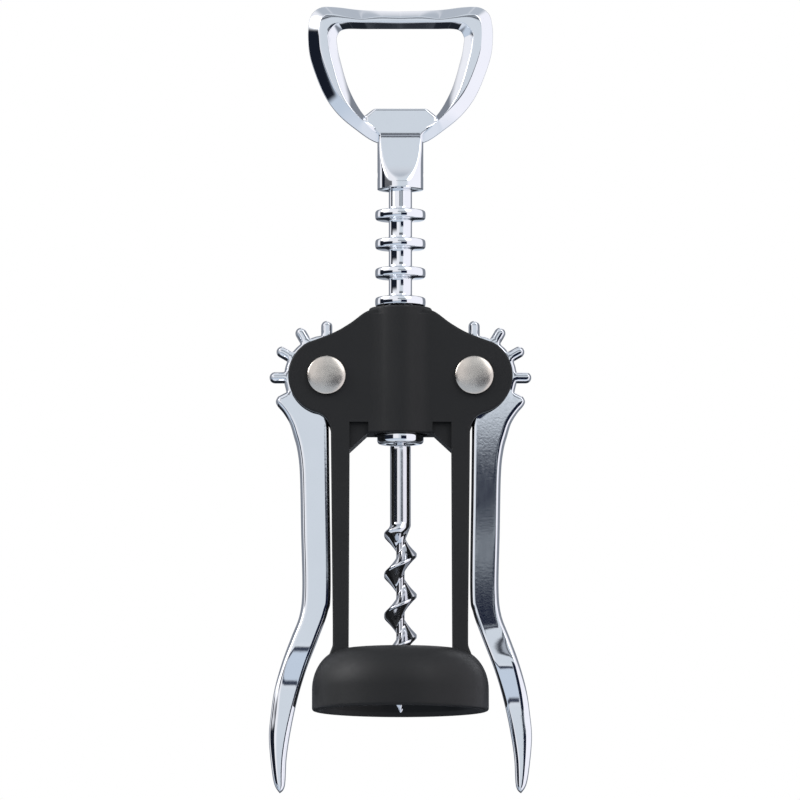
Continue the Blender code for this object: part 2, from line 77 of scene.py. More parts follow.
# Legs, ears and housing.
PLATE_HALF = 0.0054
PLATE_EDGE = 0.00045
LEG_INNER = 0.0120
LEG_INNER_LOW = 0.0122
LEG_OUTER = 0.0164
LEG_OUTER_LOW = 0.0159
LEG_BOTTOM = 0.0120
EAR_RADIUS = 0.00905
EAR_FILLET = 0.0045
SHOULDER_ANGLE = math.radians(60)
SHOULDER = ((0.0045, 0.0949), (0.0080, 0.0940), (0.0116, 0.0914), (0.0151, 0.0893),
            (0.0187, 0.0878))
SLOT_HALF = 0.0036
SLOT_RADIUS = 0.0141
HOUSING_RADIUS = 0.00745
HOUSING_BOTTOM = 0.0652
HOUSING_TOP = 0.0953
HOUSING_WEB_TOP = 0.0938
HOUSING_FILLET = 0.0070
BORE_RADIUS = 0.0063
GUSSET_BOTTOM = 0.0614
GUSSET_INNER = 0.0079
POCKET_INNER = 0.00755
POCKET_TOP = 0.0678
POCKET_DEPTH = 0.0014
FRAME_CREASE = 34

# Levers.
TOOTH_STEP = math.radians(30)
TOOTH_COUNT = 7
PITCH_RADIUS = 0.0132
TOOTH_WIDTH = 0.00265
TOOTH_TIP_RADIUS = 0.0135
TOOTH_ROOT_RADIUS = 0.0101
SHOULDER_VALLEY = math.radians(-20)
LEVER_OUTER_EDGE = ((0.0289, 0.0743), (0.0294, 0.0732), (0.0290, 0.0721), (0.0276, 0.0704),
                    (0.0261, 0.0679), (0.0252, 0.0650), (0.0243, 0.0615), (0.0237, 0.0558),
                    (0.0234, 0.0422), (0.0231, 0.0290), (0.0237, 0.0227), (0.0257, 0.0173),
                    (0.0278, 0.0116), (0.0296, 0.0051), (0.0305, -0.0011), (0.0309, -0.0062),
                    (0.0304, -0.0125), (0.0296, -0.0173), (0.0283, -0.0194))
LEVER_INNER_EDGE = ((0.0283, -0.0194), (0.0271, -0.0176), (0.0267, -0.0111), (0.0257, -0.0044),
                    (0.0241, 0.0030), (0.0221, 0.0097), (0.0193, 0.0170), (0.0171, 0.0232),
                    (0.0164, 0.0287), (0.0167, 0.0530), (0.0169, 0.0692))
TOOTH_SLOPE = 0.00075
INNER_SLOPE = 0.0006
SHOULDER_SLOPE = 0.0007
OUTLINE_STEP = 0.00032
FACE_STEP = 0.0009
FACE_MARGIN = 0.0006
FACE_REACH = 0.0110
RIDGE_GAP = 0.0002
LEFT_GRIP_TOP = 0.0170
RIGHT_GRIP_TOP = 0.0130
GRIP_LENGTH = 0.0130
GRIP_THINNER = 0.0009
RIGHT_LEAN = 0.062

# Rivets.
RIVET_HOLE_RADIUS = 0.0025
RIVET_HOLE_SIDES = 48
RIVET_PIN_RADIUS = 0.0022
RIVET_HEAD_RADIUS = 0.0045
RIVET_HEAD_HEIGHT = 0.0013
RIVET_END = 0.0064
GAP = 0.0003

# Rack, end washer and worm. Ring 0 is the first one above the levers' pivots.
ROD_RADIUS = 0.00275
RING_RADIUS = 0.0060
RING_THICKNESS = 0.0023
RACK_PITCH = PITCH_RADIUS * TOOTH_STEP
RACK_OFFSET = 0.00065
RING_NUMBERS = range(-2, 6)
RING_EDGE = 0.0008
TAIL_RADIUS = 0.0014
TAIL_HOLE_RADIUS = 0.0017
SHANK_RADIUS = 0.00245
SHANK_BOTTOM = 0.0440
SHANK_TOP = 0.0627
WORM_RADIUS = 0.00385
WORM_CORE_RADIUS = 0.0010
WORM_PITCH = 0.0096
WORM_START = 0.0016
WORM_FLANK = 0.36
WORM_TAPER = 0.0090

# Handle.
RIM_HALF = 0.0036
RIM_EDGE_HALF = 0.0008
OPENING_EDGE_HALF = 0.0004
NECK_RADIUS = 0.00545
NECK_CUT_BOTTOM = 0.1252
NECK_CUT_TOP = 0.1377
SOCKET_RADIUS = 0.00305
WEB_HALF = 0.0022
WEB_WIDE = 0.0090
WEB_NARROW = 0.00655
WEB_TAPER_BOTTOM = 0.1408
NECK_FLARE_BOTTOM = 0.1362
NECK_FLARE_TOP = 0.1394
SCOOP_POWER = 2.2
LIP_TOP = 0.1427
PIN_RADIUS = 0.0007
PIN_HOLE_RADIUS = 0.00085
HANDLE_CENTRE = 0.1535
HANDLE_RIM = ((0.0, 0.1662), (0.0090, 0.1665), (0.0150, 0.1672), (0.0187, 0.1672),
              (0.0209, 0.1657), (0.0217, 0.1633), (0.0219, 0.1595), (0.0212, 0.1545),
              (0.0183, 0.1468), (0.0149, 0.1418), (0.0104, 0.1379), (0.0057, 0.1349),
              (0.0, 0.1340))
HANDLE_OPENING = ((0.0, 0.1621), (0.0080, 0.1621), (0.0134, 0.1620), (0.0150, 0.1604),
                  (0.0150, 0.1584), (0.0143, 0.1547), (0.0120, 0.1472), (0.0082, 0.1409),
                  (0.0040, 0.1392), (0.0, 0.1388))

# Camera and floor. A long lens looks up at the object from a little below it.
CAMERA_DISTANCE = 1.900
CAMERA_HEIGHT = -0.140
AIM = (-0.0001, 0.0, 0.07354)
LENS = 364.6
FLOOR_HEIGHT = -0.30


# Outlines ------------------------------------------------------------------------------------

def polar(radius, angle):
    return (radius * math.cos(angle), radius * math.sin(angle))


def arc(centre, radius, start, end, steps):
    """Points on a circle from one angle to another, both ends included."""
    angles = [start + (end - start) * i / steps for i in range(steps + 1)]
    return [(centre[0] + radius * math.cos(a), centre[1] + radius * math.sin(a)) for a in angles]


def circle(centre, radius, sides):
    return arc(centre, radius, 0.0, 2 * math.pi, sides)[:-1]


def smooth(points, steps):
    """A Catmull-Rom curve through the points, with each span cut into steps."""
    guard = [points[0], *points, points[-1]]
    path = []
    for a, b, c, d in zip(guard, guard[1:], guard[2:], guard[3:]):
        for i in range(steps):
            t = i / steps
            path.append(tuple(
                0.5 * (2 * q + (r - p) * t + (2 * p - 5 * q + 4 * r - s) * t ** 2
                       + (3 * q - p - 3 * r + s) * t ** 3)
                for p, q, r, s in zip(a, b, c, d)))
    path.append(points[-1])
    return path


def mirrored(outline):
    """A symmetric outline from its right half, which starts and ends on the axis."""
    return outline + [(-x, z) for x, z in reversed(outline[1:-1])]


def softened(corners, steps=5, closed=False):
    """The path through (u, v, radius) corners, with each corner rounded to its radius."""
    path = []
    for i, (u, v, radius) in enumerate(corners):
        here = Vector((u, v))
        if radius <= 0.0 or not (closed or 0 < i < len(corners) - 1):
            path.append((u, v))
            continue
        before = Vector(corners[i - 1][:2]) - here
        after = Vector(corners[(i + 1) % len(corners)][:2]) - here
        cut = radius / max(math.tan(before.angle(after) / 2), 1e-3)
        cut = min(cut, 0.48 * before.length, 0.48 * after.length)
        start = here + before.normalized() * cut
        end = here + after.normalized() * cut
        for k in range(steps + 1):
            t = k / steps
            path.append(tuple((1 - t) ** 2 * start + 2 * t * (1 - t) * here + t ** 2 * end))
    return path


def resampled(outline, spacing):
    """A closed outline cut into equal steps along its length."""
    loop = [Vector(p) for p in outline]
    loop.append(loop[0])
    lengths = [0.0]
    for a, b in zip(loop, loop[1:]):
        lengths.append(lengths[-1] + (b - a).length)
    count = round(lengths[-1] / spacing)
    points = []
    k = 0
    for i in range(count):
        at = lengths[-1] * i / count
        while lengths[k + 1] < at:
            k += 1
        t = (at - lengths[k]) / max(lengths[k + 1] - lengths[k], 1e-12)
        points.append(loop[k].lerp(loop[k + 1], t))
    return points


def step(low, high, value):
    """0 below low, 1 above high, and a smooth rise between them."""
    t = min(max((value - low) / (high - low), 0.0), 1.0)
    return t * t * (3 - 2 * t)


def soft_min(a, b, width):
    """The lesser of two values, with a rounded change over from one to the other."""
    t = min(max(0.5 + 0.5 * (b - a) / width, 0.0), 1.0)
    return b + (a - b) * t - width * t * (1 - t)


# Meshes --------------------------------------------------------------------------------------

def mesh_object(name, bm):
    bmesh.ops.recalc_face_normals(bm, faces=bm.faces)
    mesh = bpy.data.meshes.new(name)
    bm.to_mesh(mesh)
    bm.free()
    mesh.shade_smooth()
    obj = bpy.data.objects.new(name, mesh)
    bpy.context.scene.collection.objects.link(obj)
    return obj


def bridge(bm, upper, lower):
    """Faces between two rings, either of which may be a single point."""
    count = max(len(upper), len(lower))
    for i in range(count):
        j = (i + 1) % count
        corners = [upper[i % len(upper)], upper[j % len(upper)],
                   lower[j % len(lower)], lower[i % len(lower)]]
        bm.faces.new(list(dict.fromkeys(corners)))


def loft(name, rings, closed=False):
    """A surface through rings of points. A ring of one point closes an end."""
    bm = bmesh.new()
    loops = [[bm.verts.new(point) for point in ring] for ring in rings]
    for upper, lower in zip(loops, loops[1:]):
        bridge(bm, upper, lower)
    if closed:
        bridge(bm, loops[-1], loops[0])
    return mesh_object(name, bm)


def lathe(name, profile, steps=112, closed=False):
    """A solid of revolution about Z from a (radius, z) profile that runs down its outside."""
    rings = []
    for radius, z in profile:
        if radius < 1e-6:
            rings.append([(0.0, 0.0, z)])
        else:
            rings.append([(x, y, z) for x, y in circle((0.0, 0.0), radius, steps)])
    return loft(name, rings, closed)


def evaluated_mesh(obj):
    """The object's mesh with its modifiers applied and its doubled points joined."""
    bpy.context.view_layer.update()
    depsgraph = bpy.context.evaluated_depsgraph_get()
    mesh = bpy.data.meshes.new_from_object(obj.evaluated_get(depsgraph))
    bm = bmesh.new()
    bm.from_mesh(mesh)
    bmesh.ops.remove_doubles(bm, verts=bm.verts, dist=2e-6)
    bmesh.ops.dissolve_degenerate(bm, edges=bm.edges, dist=1e-6)
    bmesh.ops.recalc_face_normals(bm, faces=bm.faces)
    bm.to_mesh(mesh)
    bm.free()
    return mesh


def plate(name, outlines, half, rounding, resolution=3, upright=True):
    """A flat solid from closed outlines: upright in XZ about y = 0, or lying in XY about z = 0."""
    curve = bpy.data.curves.new(name, "CURVE")
    curve.dimensions = "2D"
    curve.fill_mode = "BOTH"
    curve.extrude = half - rounding
    curve.bevel_depth = rounding
    curve.bevel_resolution = resolution
    curve.offset = -rounding
    for outline in outlines:
        spline = curve.splines.new("POLY")
        spline.points.add(len(outline) - 1)
        for point, (u, v) in zip(spline.points, outline):
            point.co = (u, v, 0.0, 1.0)
        spline.use_cyclic_u = True
    shape = bpy.data.objects.new(name, curve)
    bpy.context.scene.collection.objects.link(shape)
    mesh = evaluated_mesh(shape)
    if upright:
        mesh.transform(Matrix.Rotation(math.pi / 2, 4, "X"))
    bpy.data.objects.remove(shape, do_unlink=True)
    obj = bpy.data.objects.new(name, mesh)
    bpy.context.scene.collection.objects.link(obj)
    return obj


def both_sides(obj):
    """The object joined with its mirror image across the YZ plane."""
    modifier = obj.modifiers.new("mirror", "MIRROR")
    modifier.use_axis = (True, False, False)
    modifier.merge_threshold = 1e-6
    return obj


def booleans(obj, *operations):
    """Applies (operation, other object) pairs in order, and removes the other objects."""
    for operation, other in operations:
        modifier = obj.modifiers.new(other.name, "BOOLEAN")
        modifier.operation = operation
        modifier.solver = "EXACT"
        modifier.object = other
    obj.data = evaluated_mesh(obj)
    obj.modifiers.clear()
    for _, other in operations:
        bpy.data.objects.remove(other, do_unlink=True)
    return obj


def crisp(obj, degrees):
    """Smooth shading that keeps flat faces flat and edges over the angle sharp."""
    obj.data.shade_smooth()
    obj.data.set_sharp_from_angle(angle=math.radians(degrees))
    modifier = obj.modifiers.new("even_shading", "WEIGHTED_NORMAL")
    modifier.keep_sharp = True
    return obj


def round_bar(name, radius, reach, axis, at, sides=96):
    """A bar centred on a point, for cutting: along Z, X or Y."""
    bar = lathe(name, [(0.0, reach), (radius, reach), (radius, -reach), (0.0, -reach)], sides)
    turn = {"Z": Matrix(), "X": Matrix.Rotation(math.pi / 2, 4, "Y"),
            "Y": Matrix.Rotation(-math.pi / 2, 4, "X")}[axis]
    bar.data.transform(Matrix.Translation(at) @ turn)
    return bar


def placed(piece, body, slot, material, *nodes):
    """Gives a finished piece its material, its body and the CAD nodes that it stands for."""
    piece.data.materials.clear()
    piece.data.materials.append(material)
    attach(piece, body)
    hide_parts(*nodes)


# Materials -----------------------------------------------------------------------------------

class Nodes:
    """A node tree with short calls for its nodes and links."""

    def __init__(self, owner):
        owner.use_nodes = True
        self.tree = owner.node_tree

    def add(self, kind, **settings):
        node = self.tree.nodes.new("ShaderNode" + kind)
        for name, value in settings.items():
            setattr(node, name, value)
        return node

    def join(self, output, target):
        """Links an output to an input, or sets the input if a plain value is given."""
        if isinstance(output, bpy.types.NodeSocket):
            self.tree.links.new(output, target)
        else:
            target.default_value = output

    def math(self, operation, *values):
        node = self.add("Math", operation=operation)
        for value, target in zip(values, node.inputs):
            self.join(value, target)
        return node.outputs[0]

    def noise(self, scale, detail=2.0, stretch=(1.0, 1.0, 1.0)):
        """Noise on the piece's own coordinates, in features per metre."""
        place = self.add("TexCoord")
        mapping = self.add("Mapping")
        mapping.inputs["Scale"].default_value = stretch
        self.join(place.outputs["Object"], mapping.inputs["Vector"])
        texture = self.add("TexNoise")
        texture.inputs["Scale"].default_value = scale
        texture.inputs["Detail"].default_value = detail
        self.join(mapping.outputs["Vector"], texture.inputs["Vector"])
        return texture.outputs["Fac"]

    def remap(self, value, low, high):
        """A value from 0 to 1 spread between two others."""
        node = self.add("MapRange")
        node.inputs["To Min"].default_value = low
        node.inputs["To Max"].default_value = high
        self.join(value, node.inputs["Value"])
        return node.outputs["Result"]

    def tint(self, value, dark, light):
        """A colour between two others."""
        node = self.add("Mix", data_type="RGBA")
        self.join(value, node.inputs["Factor"])
        node.inputs["A"].default_value = (*dark, 1.0)
        node.inputs["B"].default_value = (*light, 1.0)
        return node.outputs["Result"]

    def bumps(self, *layers):
        """Bump nodes in a chain, from (height, strength, distance in metres) layers."""
        normal = None
        for height, strength, distance in layers:
            node = self.add("Bump")
            node.inputs["Strength"].default_value = strength
            node.inputs["Distance"].default_value = distance
            self.join(height, node.inputs["Height"])
            if normal is not None:
                self.join(normal, node.inputs["Normal"])
            normal = node.outputs["Normal"]
        return normal


def plated(name, dark, light, roughness, grain, waviness):
    """Bright metal: a slight change of tint, fine polishing marks and a faint orange peel."""
    mat = bpy.data.materials.new(name)
    nodes = Nodes(mat)
    shader = nodes.tree.nodes["Principled BSDF"]
    shader.inputs["Metallic"].default_value = 1.0
    tone = nodes.noise(140.0, 3.0)
    nodes.join(nodes.tint(tone, dark, light), shader.inputs["Base Color"])
    marks = nodes.noise(900.0, 4.0, (1.0, 1.0, 0.25))
    nodes.join(nodes.remap(marks, *roughness), shader.inputs["Roughness"])
    peel = nodes.noise(1700.0, 2.0)
    swell = nodes.noise(170.0, 1.0)
    nodes.join(nodes.bumps((swell, 0.5, waviness), (peel, 0.5, grain)), shader.inputs["Normal"])
    return mat


def moulded_nylon():
    """Matte black nylon with a fine spark-eroded grain and faint flow marks."""
    mat = bpy.data.materials.new("black_nylon")
    nodes = Nodes(mat)
    shader = nodes.tree.nodes["Principled BSDF"]
    shader.inputs["Specular IOR Level"].default_value = 0.24
    tone = nodes.noise(60.0, 4.0)
    nodes.join(nodes.tint(tone, (0.0120, 0.0123, 0.0128), (0.0180, 0.0184, 0.0190)),
               shader.inputs["Base Color"])
    nodes.join(nodes.remap(nodes.noise(900.0, 3.0), 0.42, 0.56), shader.inputs["Roughness"])
    grain = nodes.noise(4200.0, 3.0)
    flow = nodes.noise(120.0, 2.0)
    nodes.join(nodes.bumps((flow, 0.3, 6e-5), (grain, 0.5, 3e-5)), shader.inputs["Normal"])
    return mat


def satin_nickel():
    """Warm satin metal of a rivet's head, with a fine grain and shallow dents."""
    mat = bpy.data.materials.new("satin_nickel")
    nodes = Nodes(mat)
    shader = nodes.tree.nodes["Principled BSDF"]
    shader.inputs["Metallic"].default_value = 1.0
    nodes.join(nodes.tint(nodes.noise(420.0, 3.0), (0.56, 0.51, 0.46), (0.74, 0.69, 0.62)),
               shader.inputs["Base Color"])
    nodes.join(nodes.remap(nodes.noise(2200.0, 3.0), 0.22, 0.32), shader.inputs["Roughness"])
    grain = nodes.noise(5200.0, 3.0)
    dents = nodes.noise(520.0, 1.0)
    nodes.join(nodes.bumps((dents, 0.4, 9e-5), (grain, 0.4, 5e-6)), shader.inputs["Normal"])
    return mat


NYLON = moulded_nylon()
CHROME = plated("chrome", (0.82, 0.84, 0.87), (0.87, 0.89, 0.92), (0.025, 0.055), 1.6e-6, 0.25e-5)
STEEL = plated("bright_steel", (0.72, 0.73, 0.76), (0.82, 0.83, 0.86), (0.05, 0.10), 4e-6, 1e-5)
NICKEL = satin_nickel()


# Frame ---------------------------------------------------------------------------------------

def bell_profile():
    """Closed section of the bell's wall, from the worm's hole out and down, then back inside."""
    shoulder = [(BELL_ROOF_RADIUS + (BELL_RADIUS - BELL_ROOF_RADIUS) * math.sin(a),
                 BELL_WALL_TOP + (BELL_HEIGHT - BELL_WALL_TOP) * math.cos(a))
                for a in [math.radians(90 * i / 18) for i in range(19)]]
    below = softened([(BELL_RADIUS, BELL_WALL_TOP, 0.0), (BELL_RADIUS, 0.0, 0.0007),
                      (BELL_MOUTH_RADIUS, 0.0, 0.0003), (BELL_MOUTH_RADIUS - 0.0006, 0.0010, 0.001),
                      (BELL_SEAT_RADIUS, BELL_SEAT_HEIGHT, 0.0004),
                      (WORM_HOLE_RADIUS, BELL_SEAT_HEIGHT, 0.0003),
                      (WORM_HOLE_RADIUS, BELL_HEIGHT, 0.0)], 6)
    return [(WORM_HOLE_RADIUS + 0.0003, BELL_HEIGHT)] + shoulder + below[1:-1] + [
        (WORM_HOLE_RADIUS, BELL_HEIGHT - 0.0003)]


def fork_outline():
    """One side of the fork: shoulder, ear, leg and gusset, as (x, z)."""
    pivot = (PIVOT_X, PIVOT_Z)
    fillet_x = LEG_OUTER + EAR_FILLET
    reach = EAR_RADIUS + EAR_FILLET
    fillet_angle = -math.acos((fillet_x - PIVOT_X) / reach)
    fillet_z = PIVOT_Z + reach * math.sin(fillet_angle)
    ear = arc(pivot, EAR_RADIUS, SHOULDER_ANGLE, fillet_angle, 60)
    fillet = arc((fillet_x, fillet_z), EAR_FILLET, math.pi + fillet_angle, math.pi, 14)
    shoulder = smooth([*SHOULDER, ear[0]], 10)[:-1]
    foot = softened([(LEG_OUTER_LOW, 0.0200, 0.0), (LEG_OUTER_LOW, 0.0150, 0.0030),
                     (LEG_OUTER_LOW + 0.0012, LEG_BOTTOM, 0.0)], 6)
    leg = foot + [(LEG_INNER_LOW, LEG_BOTTOM), (LEG_INNER, GUSSET_BOTTOM)]
    inside = [(GUSSET_INNER, HOUSING_BOTTOM), (SHOULDER[0][0], HOUSING_BOTTOM)]
    return shoulder + ear + fillet[1:] + leg + inside


def housing_outline():
    """The housing's section in XY: a round with a fillet to each face of the fork."""
    reach = HOUSING_RADIUS + HOUSING_FILLET
    centre_y = PLATE_HALF + HOUSING_FILLET
    centre_x = math.sqrt(reach ** 2 - centre_y ** 2)
    blend = math.atan2(centre_y, centre_x)
    fillet = arc((centre_x, centre_y), HOUSING_FILLET, -math.pi / 2, blend - math.pi, 12)
    front = arc((0.0, 0.0), HOUSING_RADIUS, blend, math.pi - blend, 36)
    other = [(-x, y) for x, y in reversed(fillet)]
    upper = fillet + front[1:-1] + other
    return upper + [(-x, -y) for x, y in upper]


def make_frame():
    """The black moulding: the bell, the fork and the housing, then the bore, slots and pockets."""
    bell = lathe("moulded_frame", bell_profile(), 176, closed=True)
    rivet_hole = circle((PIVOT_X, PIVOT_Z), RIVET_HOLE_RADIUS, RIVET_HOLE_SIDES)
    fork = both_sides(plate("fork", [fork_outline(), rivet_hole], PLATE_HALF, PLATE_EDGE))
    height = HOUSING_WEB_TOP - HOUSING_BOTTOM
    housing = plate("housing", [housing_outline()], height / 2, 0.0005, upright=False)
    housing.location.z = HOUSING_BOTTOM + height / 2
    overlap = 0.0030
    low = HOUSING_WEB_TOP - overlap
    collar = lathe("housing_top", softened(
        [(0.0, HOUSING_TOP, 0.0), (HOUSING_RADIUS, HOUSING_TOP, 0.0006),
         (HOUSING_RADIUS, low, 0.0), (0.0, low, 0.0)], 6), 144)
    bore = round_bar("bore", BORE_RADIUS, height, "Z", (0.0, 0.0, HOUSING_BOTTOM + height / 2))
    slots = [round_bar(f"slot_{sign}", SLOT_RADIUS, SLOT_HALF, "Y", (sign * PIVOT_X, 0.0, PIVOT_Z))
             for sign in (-1, 1)]
    pocket_low = GUSSET_BOTTOM - 0.001
    pocket_half = 0.001
    pocket = both_sides(plate("pocket", [[
        (LEG_INNER, POCKET_TOP), (POCKET_INNER, POCKET_TOP), (POCKET_INNER, pocket_low),
        (LEG_INNER, pocket_low)]], pocket_half, 0.0, 0))
    pocket.location.y = POCKET_DEPTH - PLATE_HALF - pocket_half
    booleans(bell, ("UNION", fork), ("UNION", housing), ("UNION", collar), ("DIFFERENCE", bore),
             *(("DIFFERENCE", slot) for slot in slots), ("DIFFERENCE", pocket))
    placed(crisp(bell, FRAME_CREASE), "frame", "black_nylon", NYLON, "frame")


# Levers --------------------------------------------------------------------------------------

def tooth(angle):
    """One parallel-sided tooth with a round end, from root to root."""
    half_width = TOOTH_WIDTH / 2
    root_half = math.asin(half_width / TOOTH_ROOT_RADIUS)
    end = arc(polar(TOOTH_TIP_RADIUS - half_width, angle), half_width,
              angle - math.pi / 2, angle + math.pi / 2, 16)
    return [polar(TOOTH_ROOT_RADIUS, angle - root_half), *end,
            polar(TOOTH_ROOT_RADIUS, angle + root_half)]


def lever_outline():
    """The right lever about its pivot: pinion teeth, root, inner edge, tip, outer edge."""
    outline = []
    for i in range(TOOTH_COUNT):
        if i:
            outline.append(polar(TOOTH_ROOT_RADIUS, (i - 0.5) * TOOTH_STEP))
        outline += tooth(i * TOOTH_STEP)
    inner = [(x - PIVOT_X, z - PIVOT_Z) for x, z in smooth(LEVER_INNER_EDGE, 10)]
    outer = [(x - PIVOT_X, z - PIVOT_Z) for x, z in smooth(LEVER_OUTER_EDGE, 10)]
    last_root = math.atan2(outline[-1][1], outline[-1][0])
    arm_root = math.atan2(inner[-1][1], inner[-1][0])
    outline += arc((0.0, 0.0), TOOTH_ROOT_RADIUS, last_root % (2 * math.pi),
                   arm_root % (2 * math.pi), 20)[1:-1]
    outline += reversed(inner)
    outline += list(reversed(outer))[1:]
    outline.append(polar(TOOTH_ROOT_RADIUS, SHOULDER_VALLEY))
    return outline


def outward_normals(points):
    """The outward direction at each point of a closed outline that runs anticlockwise."""
    normals = []
    for i in range(len(points)):
        along = points[(i + 1) % len(points)] - points[i - 1]
        normals.append(Vector((along.y, -along.x)).normalized())
    return normals


def inscribed_radii(points, normals):
    """At each point, the radius of the largest circle inside the outline that touches there."""
    radii = []
    for here, normal in zip(points, normals):
        least = 1.0
        for other in points:
            gap = here - other
            depth = gap.dot(normal)
            if depth > 1e-6:
                least = min(least, gap.length_squared / (2 * depth))
        radii.append(least)
    return radii


def averaged(values, reach):
    """A closed list of values, each replaced by the mean of its neighbourhood."""
    count = len(values)
    window = range(-reach, reach + 1)
    return [sum(values[(i + k) % count] for k in window) / len(window) for i in range(count)]


def edge_width(z, toothed, inward):
    """How far the lever's sloping side reaches in from its outline, by height.

    It is wider on the grip, and on the side that faces the worm it narrows under the ear.
    """
    if toothed:
        return TOOTH_SLOPE
    if inward:
        under_ear = INNER_SLOPE - 0.0004 * step(0.0685, 0.0710, z)
        return under_ear + 0.0006 * step(0.0100, -0.0080, z)
    arm = SHOULDER_SLOPE + 0.0004 * step(0.0730, 0.0640, z)
    return arm + 0.0009 * step(0.0160, -0.0040, z)


def lever_half(z, grip_top):
    """Half of the lever's thickness, which falls from the arm to the grip."""
    return LEVER_HALF - GRIP_THINNER * step(grip_top, grip_top - GRIP_LENGTH, z)


# A lever's side from its outline to its face, as (share of the width, share of the depth).
SIDE_DRAFTED = softened([(0.0, 0.0, 0.0), (0.0, 0.12, 0.06), (0.52, 0.815, 0.03),
                         (0.72, 0.93, 0.03), (0.85, 0.985, 0.08), (1.0, 1.0, 0.0)], 3)
SIDE_ROUNDED = [(1 - math.cos(math.radians(a)), math.sin(math.radians(a)))
                for a in [90 * i / (len(SIDE_DRAFTED) - 1) for i in range(len(SIDE_DRAFTED))]]


def lever_surface():
    """The right lever's outline, its normals, and how far its side reaches in at each point."""
    points = resampled(lever_outline(), OUTLINE_STEP)
    if sum(a.cross(b) for a, b in zip(points, points[1:] + points[:1])) < 0:
        points.reverse()
    normals = outward_normals(points)
    room = inscribed_radii(points, normals)
    widths = []
    for point, normal, radius in zip(points, normals, room):
        z = point.y + PIVOT_Z
        toothed = point.y > -0.0035 and point.length > TOOTH_ROOT_RADIUS - 0.0002
        widths.append(min(edge_width(z, toothed, normal.x < 0.0), 0.80 * max(radius, 0.0007)))
    return points, normals, room, averaged(widths, 5)


LEVER_SURFACE = lever_surface()


def lever_face():
    """The flat face in triangles: its points, its triangles, and where its known points come from.

    Known points are those of the face's edge, then those of the rivet's hole. The last list gives
    each point's place among them, or None for a point inside the face.
    """
    points, normals, room, widths = LEVER_SURFACE
    edge = [point - normal * width for point, normal, width in zip(points, normals, widths)]
    hole = [Vector(point) for point in LEVER_HOLE]
    known = len(edge) + len(hole)
    loops = [(i, (i + 1) % len(edge)) for i in range(len(edge))]
    loops += [(len(edge) + i, len(edge) + (i + 1) % len(hole)) for i in range(len(hole))]
    inside = []
    for point, normal, width, radius in list(zip(points, normals, widths, room))[::2]:
        depth = width + FACE_MARGIN
        while depth < min(radius, FACE_REACH) - RIDGE_GAP:
            inner = point - normal * depth
            if inner.length > RIVET_HOLE_RADIUS + FACE_MARGIN:
                inside.append(inner)
            depth += FACE_STEP
    places, _, triangles, origins, _, _ = delaunay_2d_cdt(edge + hole + inside, loops, [], 1, 1e-6)
    sources = [min(origin) if origin and min(origin) < known else None for origin in origins]
    solid = []
    for triangle in triangles:
        middle = sum((places[i] for i in triangle), Vector((0.0, 0.0))) / len(triangle)
        if middle.length > RIVET_HOLE_RADIUS * 0.98:
            solid.append(triangle)
    return places, solid, sources


LEVER_HOLE = circle((0.0, 0.0), RIVET_HOLE_RADIUS, RIVET_HOLE_SIDES)
LEVER_FACE = lever_face()


def lever_side(height):
    """Rings of (point, depth) from the lever's outline in to its face, rounder on the grip."""
    points, normals, _, widths = LEVER_SURFACE
    rings = []
    for (a, b), (c, d) in zip(SIDE_DRAFTED, SIDE_ROUNDED):
        ring = []
        for point, normal, width in zip(points, normals, widths):
            grip = step(0.0240, 0.0020, point.y + PIVOT_Z)
            at = point - normal * width * (a + (c - a) * grip)
            ring.append((at, height(point - normal * width) * (b + (d - b) * grip)))
        rings.append(ring)
    return rings


def make_lever(side, sign, grip_top, lean):
    """A drafted and rounded lever. Its face leans outward by lean, in metres per metre."""
    bm = bmesh.new()

    def height(point):
        z = point.y + PIVOT_Z
        twist = lean * step(0.0100, 0.0200, z)
        return lever_half(z, grip_top) - twist * max(point.x + 0.0010, 0.0)

    def vertex(point, depth):
        return bm.verts.new((sign * point.x, depth, point.y))

    places, triangles, sources = LEVER_FACE
    holes = []
    for front in (-1, 1):
        rings = [[vertex(point, front * depth) for point, depth in ring]
                 for ring in lever_side(height)]
        for upper, lower in zip(rings, rings[1:]):
            bridge(bm, upper, lower)
        hole = [vertex(point, front * height(point)) for point in map(Vector, LEVER_HOLE)]
        known = rings[-1] + hole
        made = [vertex(place, front * height(place)) if source is None else known[source]
                for place, source in zip(places, sources)]
        for triangle in triangles:
            bm.faces.new([made[i] for i in triangle])
        holes.append(hole)
    bridge(bm, *holes)
    bmesh.ops.remove_doubles(bm, verts=bm.verts, dist=1e-6)
    lever = mesh_object(f"{side}_lever_arm", bm)
    lever.data.transform(Matrix.Translation((sign * PIVOT_X, 0.0, PIVOT_Z)))
    lever.data.set_sharp_from_angle(angle=math.radians(50))
    placed(lever, f"{side}_lever", "chrome", CHROME, f"{side}_lever")


# Rivets --------------------------------------------------------------------------------------

def dome(radius, height, base, steps=20):
    """Profile of a low rivet head over z = base, from its crown out to its rim."""
    edge = height * 0.42
    crown = height - edge
    return [(radius * math.sin(a), base + edge + crown * math.cos(a) ** 1.15)
            for a in [math.radians(90 * i / steps) for i in range(steps + 1)]]


